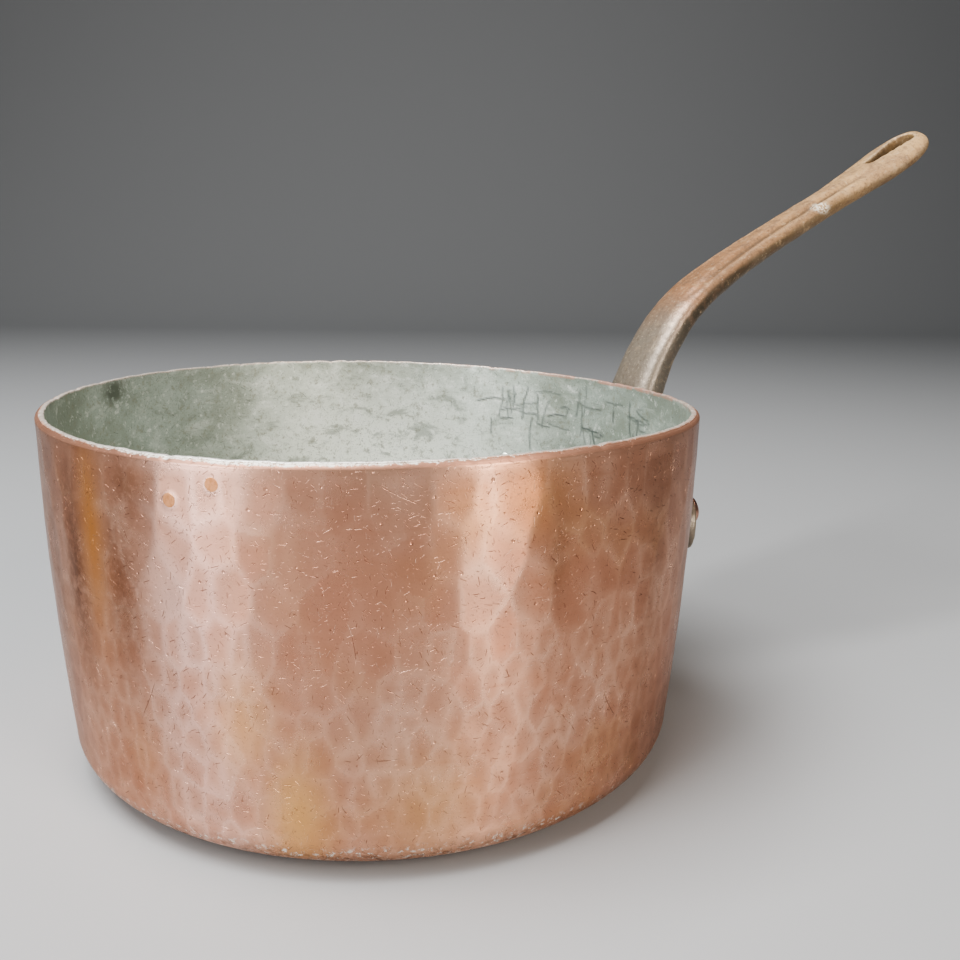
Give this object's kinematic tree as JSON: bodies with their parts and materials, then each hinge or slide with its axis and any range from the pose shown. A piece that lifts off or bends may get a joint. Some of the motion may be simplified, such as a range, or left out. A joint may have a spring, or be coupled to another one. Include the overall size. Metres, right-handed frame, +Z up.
{
  "type": "saucepan",
  "caption": "Straight-sided hammered copper saucepan, tinned inside, with a riveted cast-iron handle that rises from the rim and ends in a slotted hanging eye.",
  "frame": {"origin": "centre of the flat underside of the base", "axes": "+Z is up along the pan's axis; +X points from the pan's axis towards the handle's tip, and the handle lies in the X-Z plane"},
  "size_m": [0.3763, 0.2, 0.2099],
  "materials": {
    "copper": "hammered copper, worn polish with brown tarnish and fine scratches",
    "tin": "dull wiped tin, grey-green, scratched and pitted",
    "iron": "handled cast iron with tan-brown rust patina and worn bright edges",
    "rivet_copper": "hammered copper dome, tarnished in the seat",
    "plug_copper": "bare copper filed flush, more orange than the wall"
  },
  "bodies": {
    "root": {"pan_body": "copper", "tin_lining": "tin", "handle": "iron", "rivet_left": "rivet_copper", "rivet_right": "rivet_copper", "rivet_lower": "rivet_copper", "repair_plug_left": "plug_copper", "repair_plug_right": "plug_copper"}
  },
  "joints": []
}
